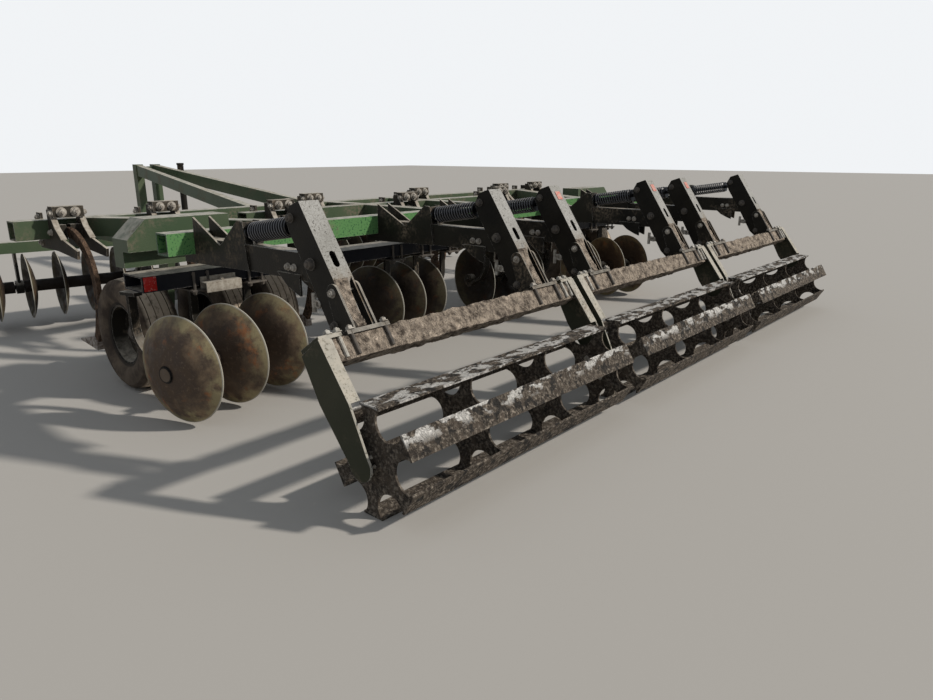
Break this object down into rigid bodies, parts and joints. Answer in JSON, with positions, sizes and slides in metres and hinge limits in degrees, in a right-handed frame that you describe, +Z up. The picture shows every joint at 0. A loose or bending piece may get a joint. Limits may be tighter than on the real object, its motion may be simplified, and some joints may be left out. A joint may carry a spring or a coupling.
{
  "type": "towed disc subsoiler with bar rollers",
  "caption": "Towed disc subsoiler: front disc gangs, curved shanks under a tube frame, transport wheels, rear disc gangs, sprung bar rollers, rising drawbar and jack.",
  "frame": {"origin": "on the ground at the middle of the machine's length and width", "axes": "+X to the machine's right, +Y forward toward the drawbar eye, +Z up"},
  "size_m": [6.748, 9.265, 1.45],
  "materials": {
    "green_paint": "semi-gloss green enamel under dust and dried mud",
    "dark_paint": "semi-gloss near-black enamel, dusty, with dried mud",
    "worn_steel": "steel worn bright by soil, with dark remains of paint and mud",
    "rusty_steel": "rusty disc and shank steel, paler and scoured at the edges",
    "spring_steel": "black coil springs, dusty on top",
    "tyre": "black rubber under dried brown mud"
  },
  "bodies": {
    "frame": {"arm_beams": "dark_paint", "arm_brackets": "dark_paint", "arm_springs": "spring_steel", "arms": "dark_paint", "crossbars": "dark_paint", "diagonals": "green_paint", "drawbar_eye": "worn_steel", "drawbar_head": "green_paint", "drawbar_left": "green_paint", "drawbar_lugs": "green_paint", "drawbar_right": "green_paint", "front_beam": "green_paint", "front_gang_beams": "green_paint", "front_hangers": "dark_paint", "gang_rails": "green_paint", "holders": "dark_paint", "inner_rails": "green_paint", "jack_tube": "dark_paint", "middle_beam": "green_paint", "points": "worn_steel", "rear_beam": "green_paint", "rear_standards": "dark_paint", "roller_hangers": "dark_paint", "shanks": "rusty_steel", "toolbar": "dark_paint", "toolbar_posts": "dark_paint", "wheel_carriers": "green_paint", "yokes": "dark_paint"},
    "wheels_left_outer": {"tyres_left_outer": "tyre", "wheels_left_outer": "dark_paint"},
    "wheels_left_inner": {"tyres_left_inner": "tyre", "wheels_left_inner": "dark_paint"},
    "wheels_right_inner": {"tyres_right_inner": "tyre", "wheels_right_inner": "dark_paint"},
    "wheels_right_outer": {"tyres_right_outer": "tyre", "wheels_right_outer": "dark_paint"},
    "roller_left": {"roller_left": "worn_steel"},
    "roller_middle": {"roller_middle": "worn_steel"},
    "roller_right": {"roller_right": "worn_steel"},
    "rear_outer_left_gang": {"rear_outer_left_gang": "rusty_steel"},
    "rear_inner_left_gang": {"rear_inner_left_gang": "rusty_steel"},
    "rear_inner_right_gang": {"rear_inner_right_gang": "rusty_steel"},
    "rear_outer_right_gang": {"rear_outer_right_gang": "rusty_steel"},
    "front_left_gang": {"front_left_gang": "rusty_steel"},
    "front_right_gang": {"front_right_gang": "rusty_steel"},
    "jack": {"jack_leg": "worn_steel"}
  },
  "joints": [
    {"name": "wheels_left_outer_turn", "type": "hinge", "parent": "frame", "child": "wheels_left_outer", "pos_m": [-2.895, -1.72746, 0.39], "axis": [1, 0, 0], "continuous": true},
    {"name": "wheels_left_inner_turn", "type": "hinge", "parent": "frame", "child": "wheels_left_inner", "pos_m": [-2.12, -1.72746, 0.39], "axis": [1, 0, 0], "continuous": true},
    {"name": "wheels_right_inner_turn", "type": "hinge", "parent": "frame", "child": "wheels_right_inner", "pos_m": [2.12, -1.72746, 0.39], "axis": [1, 0, 0], "continuous": true},
    {"name": "wheels_right_outer_turn", "type": "hinge", "parent": "frame", "child": "wheels_right_outer", "pos_m": [2.895, -1.72746, 0.39], "axis": [1, 0, 0], "continuous": true},
    {"name": "roller_left_turn", "type": "hinge", "parent": "frame", "child": "roller_left", "pos_m": [-2.11, -4.36746, 0.27], "axis": [1, 0, 0], "continuous": true},
    {"name": "roller_middle_turn", "type": "hinge", "parent": "frame", "child": "roller_middle", "pos_m": [0, -4.36746, 0.27], "axis": [1, 0, 0], "continuous": true},
    {"name": "roller_right_turn", "type": "hinge", "parent": "frame", "child": "roller_right", "pos_m": [2.11, -4.36746, 0.27], "axis": [1, 0, 0], "continuous": true},
    {"name": "rear_outer_left_gang_turn", "type": "hinge", "parent": "frame", "child": "rear_outer_left_gang", "pos_m": [-3.177, -2.68346, 0.345], "axis": [0.9673, 0.2538, 0], "continuous": true},
    {"name": "rear_inner_left_gang_turn", "type": "hinge", "parent": "frame", "child": "rear_inner_left_gang", "pos_m": [-1.188, -2.13246, 0.345], "axis": [0.9816, 0.1908, 0], "continuous": true},
    {"name": "rear_inner_right_gang_turn", "type": "hinge", "parent": "frame", "child": "rear_inner_right_gang", "pos_m": [1.188, -2.13246, 0.345], "axis": [0.9816, -0.1908, 0], "continuous": true},
    {"name": "rear_outer_right_gang_turn", "type": "hinge", "parent": "frame", "child": "rear_outer_right_gang", "pos_m": [2.505, -2.66246, 0.345], "axis": [0.9659, -0.2588, 0], "continuous": true},
    {"name": "front_left_gang_turn", "type": "hinge", "parent": "frame", "child": "front_left_gang", "pos_m": [-3.255, 0.90254, 0.385], "axis": [0.9848, -0.1736, 0], "continuous": true},
    {"name": "front_right_gang_turn", "type": "hinge", "parent": "frame", "child": "front_right_gang", "pos_m": [3.255, 0.90254, 0.385], "axis": [0.9848, 0.1736, 0], "continuous": true},
    {"name": "jack_slide", "type": "slide", "parent": "frame", "child": "jack", "axis": [0, 0, 1], "range_m": [0, 0.35]}
  ]
}
